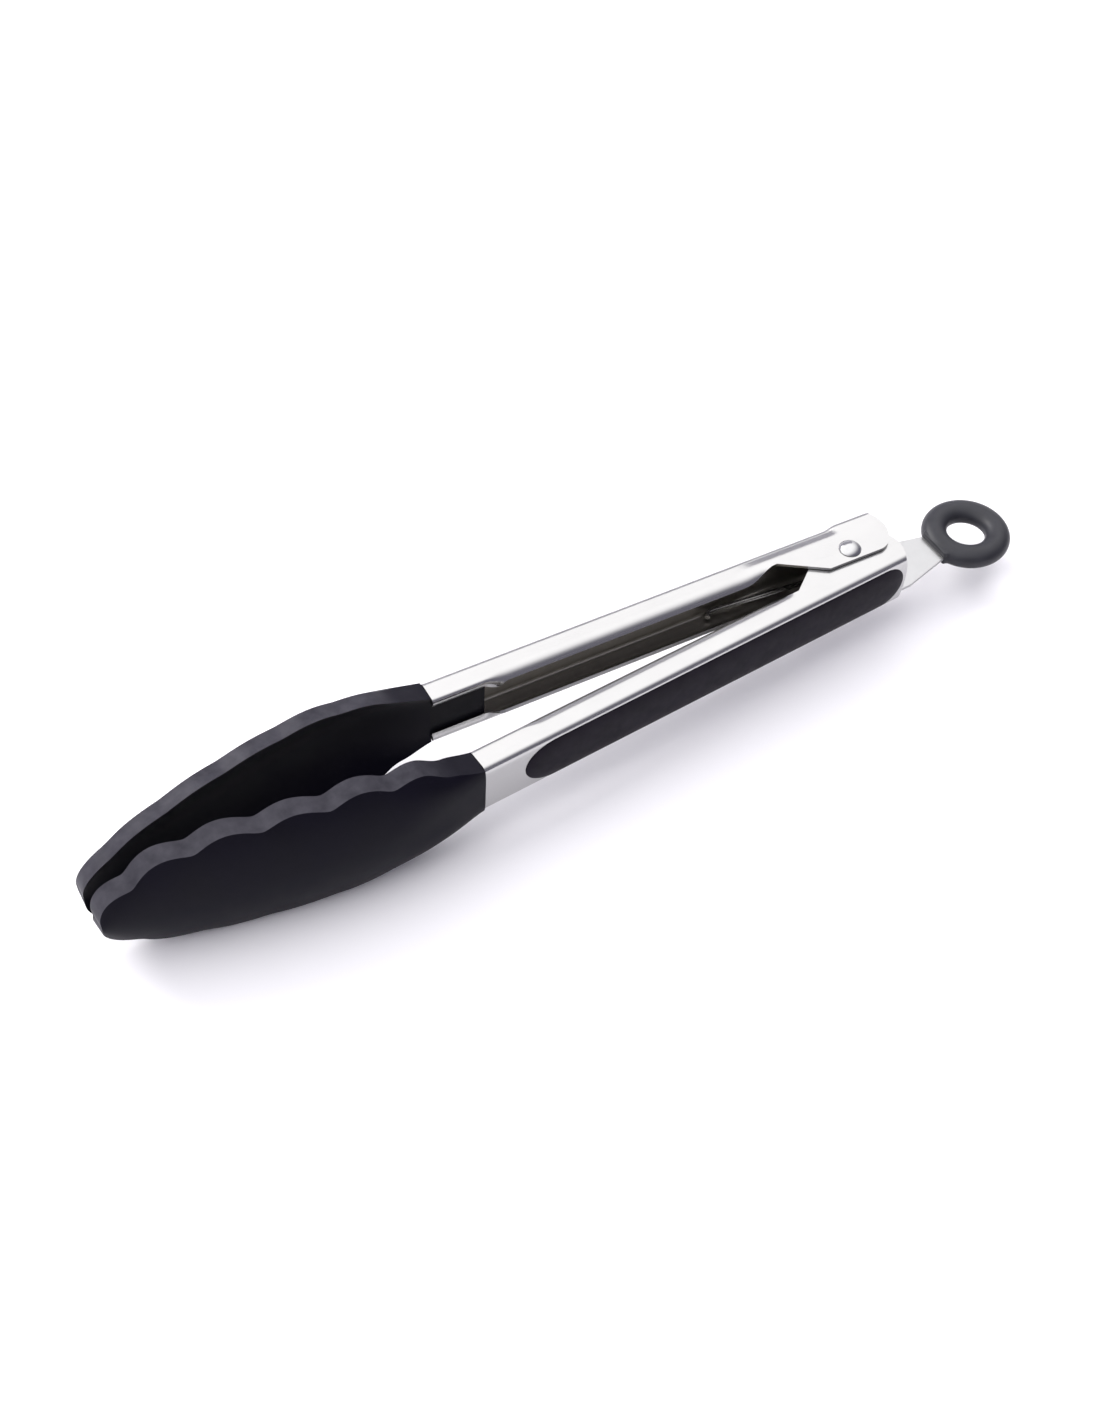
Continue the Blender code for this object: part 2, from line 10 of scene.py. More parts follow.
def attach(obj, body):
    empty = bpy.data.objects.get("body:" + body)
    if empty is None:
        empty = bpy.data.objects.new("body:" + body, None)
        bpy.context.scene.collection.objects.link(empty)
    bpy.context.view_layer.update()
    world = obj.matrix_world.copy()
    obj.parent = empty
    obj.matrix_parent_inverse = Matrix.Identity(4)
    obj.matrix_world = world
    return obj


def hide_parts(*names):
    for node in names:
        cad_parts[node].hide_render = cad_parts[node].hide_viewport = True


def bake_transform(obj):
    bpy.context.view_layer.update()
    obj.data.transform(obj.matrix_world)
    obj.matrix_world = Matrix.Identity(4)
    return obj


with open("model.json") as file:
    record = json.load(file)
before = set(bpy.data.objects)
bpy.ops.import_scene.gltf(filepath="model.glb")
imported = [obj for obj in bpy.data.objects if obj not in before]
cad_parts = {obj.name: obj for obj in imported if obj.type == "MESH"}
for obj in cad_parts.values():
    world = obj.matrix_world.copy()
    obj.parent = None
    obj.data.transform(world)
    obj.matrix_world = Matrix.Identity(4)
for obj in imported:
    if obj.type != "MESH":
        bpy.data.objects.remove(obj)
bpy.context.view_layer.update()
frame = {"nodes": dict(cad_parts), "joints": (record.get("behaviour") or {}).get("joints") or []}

MM = 0.001
PIVOT = Vector(next(j for j in frame["joints"] if j["name"] == "arm_hinge")["pos_m"])

# ---- the arms' shapes, as in the CAD model ---------------------------------
ARM_LENGTH = 124.0 * MM
TAIL_ARC = (4.8 * MM, 4.1 * MM, 9.0 * MM)     # ears' round ends: centre u, centre q, radius
TAIL_BULGE = 1.6 * MM           # the back sheet's end stands out this much in its middle
TAIL_START = -2.0 * MM          # from here the sections fan out to the round tail
BACK_OFFSET = 10.5 * MM
CHANNEL_HALF = 8.25 * MM
SHEET = 0.8 * MM
FLANGE_DEPTH = 6.4 * MM
BEND_RADIUS = 1.8 * MM
REST_HALF_ANGLE = math.radians(2.75)

# Rolled edge of the side walls: start over the rivet plane, radius, turn, straight rest.
OPEN_ROLL = (5.7 * MM, 3.8 * MM, math.radians(52.0), 0.50 * MM)
CRIMPED_ROLL = (4.4 * MM, 1.2 * MM, math.radians(115.0), 1.25 * MM)
ROLL_START = 21.3 * MM          # the edge is square up to here, and rolled after this length
ROLL_RUN = 9.0 * MM
CRIMP_START = 103.0 * MM
CRIMP_RUN = 6.5 * MM

EAR_DEPTH = 14.3 * MM
SHOULDER_START = 20.8 * MM
SHOULDER_END = 8.8 * MM
EAR_CORNER = 1.2 * MM
EAR_STEP = 1.0 * MM             # the far arm's ears stand out this much over the near arm's
STEP_END = 21.8 * MM            # the raised wall sinks back from here, over this length
STEP_RUN = 12.0 * MM
FOLD = (0.1 * MM, 1.8 * MM)     # where the raised wall's fold starts and ends, from the bend
BACK_RISE = 2.0 * MM            # the back's bend is raised too, fading this far round the rivet
FREE_EDGE = BACK_OFFSET - FLANGE_DEPTH
EAR_EDGE = BACK_OFFSET - EAR_DEPTH
SHEET_ROUNDING = 0.13 * MM
SHANK_RADIUS = 1.8 * MM
HOLE_CLEARANCE = 0.1 * MM
FIT_GAP = 0.15 * MM

HEAD_LENGTH = 97.4 * MM
HEAD_HALF_WIDTH = 18.3 * MM
FLARE_END = 0.42                # share of the length where the head has its full width
NOSE_START = 0.45               # share where the outline begins to close, and how it closes
NOSE_POWER = 3.4
NOSE_ROUND = 0.58
NECK_HALF_WIDTH = 8.5 * MM
RIM_NECK = 3.9 * MM
RIM_DROP = 12.3 * MM
RIM_WIDTH = 4.95 * MM
NECK_SIDE = 6.6 * MM            # the side walls' width where they meet the channel
SPINE_NECK = 10.95 * MM
SPINE_DROP = 10.6 * MM
SPINE_HUMP = 20.5 * MM
WALL = 3.8 * MM                 # the scoop's thickness along its middle
SCALLOPS_PER_SIDE = 6.47
SCALLOP_PHASE = 1.09
SCALLOP_HEIGHT = 1.16 * MM
SCALLOP_MIDDLE = 1.27           # twice the crest that leaves the rim where it is
VALLEY_ROUND = 0.05
SCALLOP_LEAN = math.radians(61.0)
SCALLOP_FADE = (0.05, 0.12)     # shares of the outline: where the waves begin, and grow to full height
RIM_DRAFT = 0.7 * MM            # how much narrower the rim is at its back edge
FLOOR_STEP = 0.6 * MM           # the bowl's floor behind the rim at the neck
RIM_ROUNDING = 0.42 * MM
TIP_START = 0.93                # share of the length where the rim turns round the tip
RIM_DUST_AND_SHEEN_AT_NECK = 0.12             # the rim's pale dust and painted sheen: its strength at the neck, where it begins and grows
RIM_DUST_AND_SHEEN_FADE = (0.06, 0.16)

GRIP_HEAD_END = 112.0 * MM
GRIP_TAIL_END = -11.7 * MM
GRIP_HALF_WIDTH = 6.8 * MM
GRIP_HEIGHT = 1.0 * MM
GRIP_POINT = 1.35               # the head end is a half ellipse, this much longer than round
GRIP_PROFILE = (                # inset from the outline in mm, share of the height
    (0.10, 0.0), (0.0, 0.04), (0.02, 0.10), (0.10, 0.17), (0.25, 0.25), (0.5, 0.35), (0.9, 0.47),
    (1.4, 0.60), (2.0, 0.72), (2.8, 0.84), (3.8, 0.93), (4.8, 0.98), (5.9, 1.0))

RIVET_HEAD_RADIUS = 3.05 * MM
RIVET_HEAD_HEIGHT = 1.4 * MM
RIVET_SEAT = CHANNEL_HALF + EAR_STEP + FIT_GAP / 2
DOME_HALF_ANGLE = math.radians(62.0)
DOME_EDGE = 0.12 * MM           # height of the dome's straight edge
DOME_UNDERCUT = 0.04 * MM

PLATE_THICKNESS = 0.8 * MM
PLATE_BOTTOM = -CHANNEL_HALF + SHEET + 3 * FIT_GAP
PLATE_TOP = PLATE_BOTTOM + PLATE_THICKNESS
PLATE_LEVEL = (PLATE_BOTTOM + PLATE_TOP) / 2
PLATE_TRAVEL = 13.0 * MM
PLATE_SIDE = (                  # distance from the rivet and half width, in mm
    (-5.2, 3.6), (-4.0, 4.8), (6.5, 5.6), (9.6, 7.9), (10.6, 8.4), (17.4, 8.45), (19.2, 8.0),
    (32.0, 4.9), (34.5, 4.4))
SLOT_HALF_WIDTH = 2.1 * MM
SLOT_SLACK = 0.3 * MM
TAPER_END = 32.0 * MM

RING_CENTRE = 44.0 * MM
RING_RADIUS = 9.0 * MM
RING_HALF_RADIAL = 3.6 * MM
RING_HALF_THICK = 3.0 * MM
BOSS_END = 36.5 * MM            # the block round the plate's end: length, half widths, thickness
BOSS_HALF_FRONT = 5.0 * MM
BOSS_HALF_BACK = 6.2 * MM
BOSS_HALF_THICK = 2.0 * MM
RING_VOXEL = 0.22 * MM          # grain of the remesh that fuses ring and block

WIRE_RADIUS = 0.75 * MM
COIL_RADIUS = 4.8 * MM
COIL_TURNS = 5.5
COIL_TOP = 4.4 * MM
COIL_BOTTOM = -5.0 * MM
LEG_LENGTH = 38.0 * MM
LEG_CLEARANCE = 0.3 * MM
LOWER_LEG_DROP = 0.9 * MM
WIRE_POINTS_PER_TURN = 40

# ---- camera and light --------------------------------------------------------
CAMERA_PLACE = Vector((-202.5, -279.7, 418.6)) * MM
CAMERA_RIGHT = Vector((0.8519, -0.5222, 0.0404))
CAMERA_BACK = Vector((-0.3621, -0.5316, 0.7657))
CAMERA_LENS = 51.7
TENT_BRIGHT_WAY = Vector((-0.22, 0.60, 0.77))
TENT_EDGE = (-0.05, 0.74)       # cosines to that way between which dim turns to bright
TENT_DIM = (0.25, 0.243, 0.300)
TENT_BRIGHT = (2.10, 2.085, 2.10)
BACKDROP = (0.98, 0.975, 0.99)  # what shows past the floor's edges
KEY_PLACE = (-0.45, 1.1, 0.95)
KEY_TARGET = (-0.02, 0.0, 0.01)
KEY_SIZE = (0.9, 0.5)
KEY_COLOUR = (1.0, 0.985, 0.96)
KEY_POWER = 15.0
FLOOR_HALF_WIDTH = 3.5
FLOOR_FRONT = -3.0
FLOOR_BEND = 2.2                # the sheet bends up here, behind the object
FLOOR_CURVE = 0.8
FLOOR_TOP = 2.6


# ---- small helpers -----------------------------------------------------------
def smoothstep(t):
    t = min(max(t, 0.0), 1.0)
    return t * t * (3 - 2 * t)


def mix(a, b, t):
    return a + (b - a) * t


def arm_point(side, u, q, z):
    """Arm frame (u to the head, q out through the back, z along the rivet) to the row frame."""
    c, s = math.cos(REST_HALF_ANGLE), math.sin(REST_HALF_ANGLE)
    return Vector((PIVOT.x - u * c + q * s, PIVOT.y + side * (u * s + q * c), PIVOT.z + z))


def add(name, mesh, finish, body=None, smooth_angle=35.0):
    """New object, smooth apart from edges sharper than smooth_angle."""
    obj = bpy.data.objects.new(name, mesh)
    bpy.context.collection.objects.link(obj)
    mesh.materials.append(finish)
    mesh.shade_smooth()
    mesh.set_sharp_from_angle(angle=math.radians(smooth_angle))
    if body:
        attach(obj, body)
    return obj


def mesh_from(name, verts, faces):
    """Mesh with its faces turned outwards."""
    bm = bmesh.new()
    points = [bm.verts.new(v) for v in verts]
    for face in faces:
        bm.faces.new([points[i] for i in face])
    bmesh.ops.recalc_face_normals(bm, faces=bm.faces)
    mesh = bpy.data.meshes.new(name)
    bm.to_mesh(mesh)
    bm.free()
    return mesh


def loft(name, rings, strip_ends=False):
    """One closed skin over rings of equally many points.

    The ends are flat caps, or strips of quads where a ring runs out along one
    side of a bent sheet and back along the other.
    """
    count = len(rings[0])
    verts = [point for ring in rings for point in ring]
    faces = []
    for base in (0, len(verts) - count):
        if strip_ends:
            faces += [[base + i, base + i + 1, base + count - 2 - i, base + count - 1 - i]
                      for i in range(count // 2 - 1)]
        else:
            faces.append(list(range(base, base + count)))
    for r in range(len(rings) - 1):
        for i in range(count):
            j = (i + 1) % count
            faces.append([r * count + i, r * count + j, (r + 1) * count + j, (r + 1) * count + i])
    return mesh_from(name, verts, faces)


def lathe(name, profile, segments, centre):
    """Turn a (radius, z) profile round the vertical through centre; radius 0 gives a pole."""
    bm = bmesh.new()
    rings = []
    for radius, z in profile:
        count = 1 if radius == 0 else segments
        rings.append([bm.verts.new((centre.x + radius * math.cos(math.tau * i / segments),
                                    centre.y + radius * math.sin(math.tau * i / segments),
                                    centre.z + z)) for i in range(count)])
    for low, high in zip(rings, rings[1:]):
        for i in range(segments):
            j = (i + 1) % segments
            corners = [low[i % len(low)], low[j % len(low)], high[j % len(high)], high[i % len(high)]]
            bm.faces.new(list(dict.fromkeys(corners)))
    bmesh.ops.recalc_face_normals(bm, faces=bm.faces)
    mesh = bpy.data.meshes.new(name)
    bm.to_mesh(mesh)
    bm.free()
    return mesh


def stadium(x0, x1, half_width, steps, point=1.0):
    """Outline with two half-round ends; point stretches the x1 end into a half ellipse."""
    outline = []
    for end, way, start, reach in ((x1, 1, -90, point), (x0, -1, 90, 1.0)):
        for i in range(steps + 1):
            a = math.radians(start + 180 * i / steps)
            outline.append((end + half_width * reach * (math.cos(a) - way), half_width * math.sin(a)))
    return outline


def cut(obj, mesh):
    """Cut obj with a helper mesh and keep the result."""
    helper = bpy.data.objects.new(mesh.name, mesh)
    bpy.context.collection.objects.link(helper)
    step = obj.modifiers.new("cut", 'BOOLEAN')
    step.operation = 'DIFFERENCE'
    step.solver = 'EXACT'
    step.object = helper
    apply_modifiers(obj)
    bpy.data.objects.remove(helper, do_unlink=True)


def apply_modifiers(obj):
    """Bake the modifiers into the mesh and keep its materials."""
    depsgraph = bpy.context.evaluated_depsgraph_get()
    baked = bpy.data.meshes.new_from_object(obj.evaluated_get(depsgraph))
    obj.modifiers.clear()
    obj.data = baked


def round_edges(obj, width, segments, angle):
    """Bevel the edges sharper than angle."""
    step = obj.modifiers.new("round", 'BEVEL')
    step.width = width
    step.segments = segments
    step.limit_method = 'ANGLE'
    step.angle_limit = math.radians(angle)
    step.harden_normals = True


# ---- materials -----------------------------------------------------------------
class Finish:
    """A Principled material whose colour, roughness and bump come from nodes."""

    def __init__(self, name, colour, roughness, metallic=0.0, specular=0.5):
        self.mat = bpy.data.materials.new(name)
        self.mat.use_nodes = True
        self.nodes = self.mat.node_tree.nodes
        self.links = self.mat.node_tree.links
        self.shader = self.nodes["Principled BSDF"]
        self.shader.inputs["Base Color"].default_value = (*colour, 1.0)
        self.shader.inputs["Roughness"].default_value = roughness
        self.shader.inputs["Metallic"].default_value = metallic
        self.shader.inputs["Specular IOR Level"].default_value = specular
        self.colour = colour
        self.roughness = roughness
        self.place = self.nodes.new('ShaderNodeTexCoord').outputs["Object"]
        self.colour_out = None
        self.bump_out = None

    def noise(self, scale, detail=3.0, stretch=(1, 1, 1), turn=0.0, rough=0.55):
        """Noise in the piece's own space, stretched along its axes after a turn about Z."""
        mapping = self.nodes.new('ShaderNodeMapping')
        mapping.inputs["Rotation"].default_value = (0, 0, turn)
        self.links.new(self.place, mapping.inputs["Vector"])
        squeeze = self.nodes.new('ShaderNodeVectorMath')
        squeeze.operation = 'MULTIPLY'
        squeeze.inputs[1].default_value = stretch
        self.links.new(mapping.outputs["Vector"], squeeze.inputs[0])
        tex = self.nodes.new('ShaderNodeTexNoise')
        tex.inputs["Scale"].default_value = scale
        tex.inputs["Detail"].default_value = detail
        tex.inputs["Roughness"].default_value = rough
        self.links.new(squeeze.outputs["Vector"], tex.inputs["Vector"])
        return tex.outputs["Fac"]

    def ramp(self, value, low, high, start=0.3, end=0.7):
        step = self.nodes.new('ShaderNodeMapRange')
        step.inputs["From Min"].default_value = start
        step.inputs["From Max"].default_value = end
        step.inputs["To Min"].default_value = low
        step.inputs["To Max"].default_value = high
        self.links.new(value, step.inputs["Value"])
        return step.outputs["Result"]

    def vary_colour(self, value, low, high):
        """Colour between low and high times the base colour, by value 0.3 to 0.7."""
        blend = self.nodes.new('ShaderNodeMix')
        blend.data_type = 'RGBA'
        blend.inputs["A"].default_value = (*[c * low for c in self.colour], 1.0)
        blend.inputs["B"].default_value = (*[c * high for c in self.colour], 1.0)
        self.links.new(self.ramp(value, 0, 1), blend.inputs["Factor"])
        self.colour_out = blend.outputs["Result"]
        self.links.new(self.colour_out, self.shader.inputs["Base Color"])

    def tint(self, attribute, colour, value):
        """Towards another colour where a point attribute is 1, patchily by value 0.3 to 0.7."""
        mask = self.nodes.new('ShaderNodeAttribute')
        mask.attribute_name = attribute
        patchy = self.nodes.new('ShaderNodeMath')
        patchy.operation = 'MULTIPLY'
        self.links.new(mask.outputs["Fac"], patchy.inputs[0])
        self.links.new(self.ramp(value, 0.55, 1.05), patchy.inputs[1])
        blend = self.nodes.new('ShaderNodeMix')
        blend.data_type = 'RGBA'
        blend.inputs["B"].default_value = (*colour, 1.0)
        self.links.new(self.colour_out, blend.inputs["A"])
        self.links.new(patchy.outputs["Value"], blend.inputs["Factor"])
        self.colour_out = blend.outputs["Result"]
        self.links.new(self.colour_out, self.shader.inputs["Base Color"])

    def vary_roughness(self, value, spread):
        self.links.new(self.ramp(value, self.roughness - spread, self.roughness + spread),
                       self.shader.inputs["Roughness"])

    def bump(self, value, height, strength=1.0):
        step = self.nodes.new('ShaderNodeBump')
        step.inputs["Strength"].default_value = strength
        step.inputs["Distance"].default_value = height
        self.links.new(value, step.inputs["Height"])
        if self.bump_out:
            self.links.new(self.bump_out, step.inputs["Normal"])
        self.bump_out = step.outputs["Normal"]
        self.links.new(self.bump_out, self.shader.inputs["Normal"])


def brushed_steel(name, turn):
    """Satin sheet with fine brushing along the arm and faint handling marks."""
    steel = Finish(name, (0.47, 0.467, 0.466), 0.24, metallic=1.0)
    grain = steel.noise(1.0, 4.0, (60, 9000, 9000), turn)
    cloud = steel.noise(55, 3.0)
    steel.vary_colour(cloud, 0.97, 1.02)
    steel.vary_roughness(grain, 0.04)
    steel.bump(grain, 0.001 * MM, 0.35)
    return steel.mat


def painted_shade_steel(name, turn):
    """The channel's inside: rougher than outside, with its colour darkened as painted shade inside the
    channel.
    """
    steel = Finish(name, (0.36, 0.345, 0.32), 0.34, metallic=1.0)
    grain = steel.noise(1.0, 3.0, (40, 5000, 5000), turn)
    steel.vary_colour(grain, 0.93, 1.06)
    steel.vary_roughness(steel.noise(90, 3.0), 0.04)
    return steel.mat


def plate_steel(name):
    """Stamped plate, tumbled rather than brushed."""
    steel = Finish(name, (0.44, 0.44, 0.445), 0.34, metallic=1.0)
    fine = steel.noise(1900, 3.0)
    steel.vary_colour(steel.noise(120, 3.0), 0.96, 1.02)
    steel.vary_roughness(fine, 0.05)
    steel.bump(fine, 0.002 * MM, 0.4)
    return steel.mat


def polished_steel(name):
    """Tumbled rivet, bright with tiny dents."""
    steel = Finish(name, (0.47, 0.47, 0.475), 0.16, metallic=1.0)
    steel.vary_roughness(steel.noise(700, 4.0), 0.04)
    steel.vary_colour(steel.noise(260, 2.0), 0.97, 1.02)
    steel.bump(steel.noise(900, 2.0), 0.006 * MM, 0.4)
    return steel.mat


def spring_wire(name):
    """Drawn wire with lines along it."""
    steel = Finish(name, (0.30, 0.295, 0.285), 0.26, metallic=1.0)
    lines = steel.noise(1.0, 3.0, (500, 3500, 3500))
    steel.vary_roughness(lines, 0.07)
    steel.vary_colour(steel.noise(180, 2.0), 0.9, 1.05)
    steel.bump(lines, 0.004 * MM, 0.5)
    return steel.mat


def silicone(name):
    """Matt moulded silicone: fine blasted texture, slight cloudiness, and a pale rim that is partly dust
    and partly painted sheen.
    """
    skin = Finish(name, (0.0032, 0.0027, 0.0072), 0.46, specular=0.08)
    cloud = skin.noise(70, 4.0)
    fine = skin.noise(2600, 2.0)
    skin.vary_colour(cloud, 0.85, 1.2)
    # the rim is lightened patchily: partly dust, partly painted sheen on the rim's face
    skin.tint("rim", (0.050, 0.048, 0.060), skin.noise(260, 5.0))
    skin.vary_roughness(cloud, 0.05)
    skin.bump(fine, 0.006 * MM, 0.5)
    skin.bump(skin.noise(330, 3.0), 0.02 * MM, 0.12)
    return skin.mat


def nylon(name):
    """Moulded core, a little glossier than the silicone."""
    skin = Finish(name, (0.0030, 0.0028, 0.0055), 0.38, specular=0.08)
    fine = skin.noise(1500, 3.0)
    skin.vary_colour(skin.noise(90, 3.0), 0.85, 1.2)
    skin.vary_roughness(fine, 0.06)
    skin.bump(fine, 0.005 * MM, 0.4)
    return skin.mat


def grip_rubber(name):
    """Fine pebbled rubber."""
    skin = Finish(name, (0.0090, 0.0070, 0.0120), 0.50, specular=0.08)
    fine = skin.noise(3300, 2.0)
    skin.vary_colour(skin.noise(150, 4.0), 0.8, 1.25)
    skin.vary_roughness(skin.noise(400, 3.0), 0.05)
    skin.bump(fine, 0.010 * MM, 0.5)
    return skin.mat


def ring_rubber(name):
    """Soft satin rubber with a bloom."""
    skin = Finish(name, (0.022, 0.0222, 0.028), 0.42, specular=0.30)
    cloud = skin.noise(160, 4.0)
    skin.vary_colour(cloud, 0.85, 1.2)
    skin.vary_roughness(cloud, 0.05)
    skin.bump(skin.noise(2400, 2.0), 0.012 * MM, 0.5)
    return skin.mat


def floor_paper(name):
    """Matt white sheet."""
    paper = Finish(name, (0.92, 0.91, 0.945), 0.85, specular=0.2)
    paper.vary_colour(paper.noise(9, 3.0), 0.995, 1.005)
    paper.bump(paper.noise(600, 4.0), 0.02 * MM, 0.15)
    return paper.mat


# ---- steel channels ----------------------------------------------------------------
def tail_reach(q, z):
    """Distance from the rivet to the sheet's tail end at a point of the section."""
    centre_u, centre_q, radius = TAIL_ARC
    middle = 1 - min(abs(z) / CHANNEL_HALF, 1.0) ** 3
    return centre_u + math.sqrt(radius ** 2 - (q - centre_q) ** 2) + TAIL_BULGE * middle


def free_edge(u):
    """The side wall's edge: deep at the ears, sloping to a shallow flange, round at the tail's corner."""
    if u >= SHOULDER_START:
        return FREE_EDGE
    if u >= SHOULDER_END:
        return mix(FREE_EDGE, EAR_EDGE, (SHOULDER_START - u) / (SHOULDER_START - SHOULDER_END))
    over = min(max((EAR_CORNER - tail_reach(EAR_EDGE, CHANNEL_HALF) - u) / EAR_CORNER, 0.0), 1.0)
    return EAR_EDGE + EAR_CORNER * (1 - math.sqrt(1 - over * over))


def rolled_edge(crimped, level, steps):
    """Outer and inner (q, z) points of the wall's edge as it curls towards the middle."""
    start, radius, turn, rest = (mix(a, b, crimped) for a, b in zip(OPEN_ROLL, CRIMPED_ROLL))
    outer, inner = [], []
    for points, r in ((outer, radius), (inner, radius - SHEET)):
        for i in range(steps + 1):
            a = turn * i / steps
            points.append((start - r * math.sin(a), level - radius + r * math.cos(a)))
        q, z = points[-1]
        points.append((q - rest * math.cos(turn), z - rest * math.sin(turn)))
    return outer, inner


def half_section(u, step):
    """(q, z) points of the channel's upper half from the back's middle, outside and inside."""
    edge = free_edge(u)
    rolled = smoothstep((u - ROLL_START) / ROLL_RUN)
    crimped = smoothstep((u - CRIMP_START) / CRIMP_RUN)
    ear_up = step * (1 - smoothstep((u - STEP_END) / STEP_RUN))
    back_up = step * (1 - smoothstep((u + BACK_RISE) / (2 * BACK_RISE)))
    bend_steps, roll_steps = 8, 9

    def wall(thickness):
        r = BEND_RADIUS - thickness
        top = CHANNEL_HALF - BEND_RADIUS + back_up
        points = [(BACK_OFFSET - thickness, top * i / 4) for i in range(1, 4)]
        for i in range(bend_steps + 1):
            a = math.pi / 2 * i / bend_steps
            points.append((BACK_OFFSET - BEND_RADIUS + r * math.cos(a), top + r * math.sin(a)))
        points.append((BACK_OFFSET - BEND_RADIUS - FOLD[0], CHANNEL_HALF - thickness + back_up))
        points.append((BACK_OFFSET - BEND_RADIUS - FOLD[1], CHANNEL_HALF - thickness + ear_up))
        points.append((OPEN_ROLL[0] + 0.1 * MM, CHANNEL_HALF - thickness + ear_up))
        return points

    level = CHANNEL_HALF + ear_up
    outer, inner = rolled_edge(crimped, level, roll_steps)
    count = roll_steps + 2
    flat = [mix(OPEN_ROLL[0], edge, (i + 1) / count) for i in range(count)]
    square_outer = [(q, level) for q in flat]
    square_inner = [(q, level - SHEET) for q in flat]

    def blend(square, bent):
        return [(mix(s[0], b[0], rolled), mix(s[1], b[1], rolled)) for s, b in zip(square, bent)]

    return wall(0) + blend(square_outer, outer), wall(SHEET) + blend(square_inner, inner)


def channel_stations():
    """Distances from the rivet where the channel has a section, closest where its shape changes."""
    stations = [ARM_LENGTH - d * MM for d in (0, 4, 8, 12)]
    stations += [CRIMP_START + CRIMP_RUN * part / 10 for part in range(10, -1, -1)]
    stations += [mix(CRIMP_START, SHOULDER_START + 14.0 * MM, i / 8) for i in range(1, 9)]
    stations += [SHOULDER_START + d * MM
                 for d in (12.5, 11, 9.5, 8, 7, 6, 5, 4.2, 3.6, 3.0, 2.4, 1.8, 1.2, 0.6, 0)]
    stations += [mix(SHOULDER_START, SHOULDER_END, i / 4) for i in range(1, 5)]
    stations += [d * MM for d in (5, 2, 1.5, 1, 0.5, 0, -0.5, -1, -1.5)]
    tail = -tail_reach(EAR_EDGE, CHANNEL_HALF)
    stations += [TAIL_START, mix(TAIL_START, tail, 0.4)]
    stations += [tail + EAR_CORNER * (1 - math.sin(math.pi / 2 * i / 10)) for i in range(11)]
    return stations


def channel_ring(side, u, step):
    """The section at a station; past the ears' middle the rings fan out to the round tail."""
    outside, inside = half_section(u, step)
    tail = -tail_reach(EAR_EDGE, CHANNEL_HALF)
    along = max((TAIL_START - u) / (TAIL_START - tail), 0.0)
    upper = []
    for outer, inner in zip(outside, inside):
        place = mix(TAIL_START, -tail_reach(*outer), along) if along > 0 else u
        upper.append((place, outer, inner))
    strip = [(place, (o[0], -o[1]), (i[0], -i[1])) for place, o, i in reversed(upper)] + upper
    ring = [arm_point(side, place, *outer) for place, outer, _ in strip]
    return ring + [arm_point(side, place, *inner) for place, _, inner in reversed(strip)]


def arm_steel(word, side, finish, painted_shade_finish):
    """Channel with a rougher inside whose steel is darkened as painted shade, and the rivet's hole."""
    name = word + "_arm_steel"
    step = EAR_STEP if side > 0 else 0.0
    rings = [channel_ring(side, u, step) for u in channel_stations()]
    mesh = loft(name, rings, strip_ends=True)
    obj = add(name, mesh, finish)
    mesh.materials.append(painted_shade_finish)
    count = len(rings[0])
    # the inside faces take the darker steel: painted shade inside the channel
    for face in mesh.polygons:
        if all(v % count >= count // 2 for v in face.vertices):
            face.material_index = 1
    round_edges(obj, SHEET_ROUNDING, 3, 40)
    apply_modifiers(obj)
    hole = SHANK_RADIUS + HOLE_CLEARANCE
    reach = CHANNEL_HALF + EAR_STEP + 1 * MM
    cut(obj, lathe(name + "_drill", [(0, -reach), (hole, -reach), (hole, reach), (0, reach)], 48, PIVOT))
    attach(obj, word + "_arm")
    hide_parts(word + "_arm_channel")


# ---- grip pads -----------------------------------------------------------------------
def grip_pad(word, side, finish):
    """Round-ended pad with a soft shoulder and a low crown."""
    name = word + "_grip_pad"
    rings = []
    for inset_mm, rise in GRIP_PROFILE:
        inset = inset_mm * MM
        outline = stadium(GRIP_TAIL_END + inset, GRIP_HEAD_END - inset, GRIP_HALF_WIDTH - inset, 36,
                          GRIP_POINT)
        q = BACK_OFFSET + 0.02 * MM + (GRIP_HEIGHT + FIT_GAP / 2) * rise
        rings.append([arm_point(side, u, q, z) for u, z in outline])
    obj = add(name, loft(name, rings), finish, word + "_arm", 60.0)
    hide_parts(word + "_grip_insert")


# ---- heads ------------------------------------------------------------------------------
def head_half_width(s):
    """Half the head's width; s runs from 0 at the neck to 1 at the tip."""
    flare = min(s / FLARE_END, 1.0)
    body = mix(NECK_HALF_WIDTH, HEAD_HALF_WIDTH, 1 - (1 - flare ** 1.2) ** 2.5)
    nose = max((s - NOSE_START) / (1 - NOSE_START), 0.0)
    return body * (1 - nose ** NOSE_POWER) ** NOSE_ROUND


def rim_front(s):
    """The rim's front edge, which bends towards the other head."""
    return RIM_NECK - RIM_DROP * smoothstep(s) ** 1.65


def spine_back(s):
    """The back of the scoop along its middle."""
    return SPINE_NECK - SPINE_DROP * smoothstep(s) ** 1.3 + SPINE_HUMP * s * (1 - s) ** 1.8


def bowl_curve(s, v):
    """Shape across the head, 1 in the middle and 0 at the rim; squarer at the neck."""
    power = mix(6.0, 2.1, smoothstep(s / 0.3))
    return (1 - min(abs(v), 1.0) ** power) * math.sqrt(max(1 - s ** 6, 0.0))


def head_outside(s, v):
    """The outer skin's distance from the rivet plane; v runs from -1 to 1 across the head."""
    back = rim_front(s) + mix(NECK_SIDE, RIM_WIDTH, smoothstep(s / 0.16))
    return back + (spine_back(s) - back) * bowl_curve(s, v)


def head_inside(s, v):
    """The bowl's skin, in the same way."""
    depth = spine_back(s) - WALL - rim_front(s)
    return rim_front(s) + mix(FLOOR_STEP, depth, smoothstep(s / 0.25)) * bowl_curve(s, v)


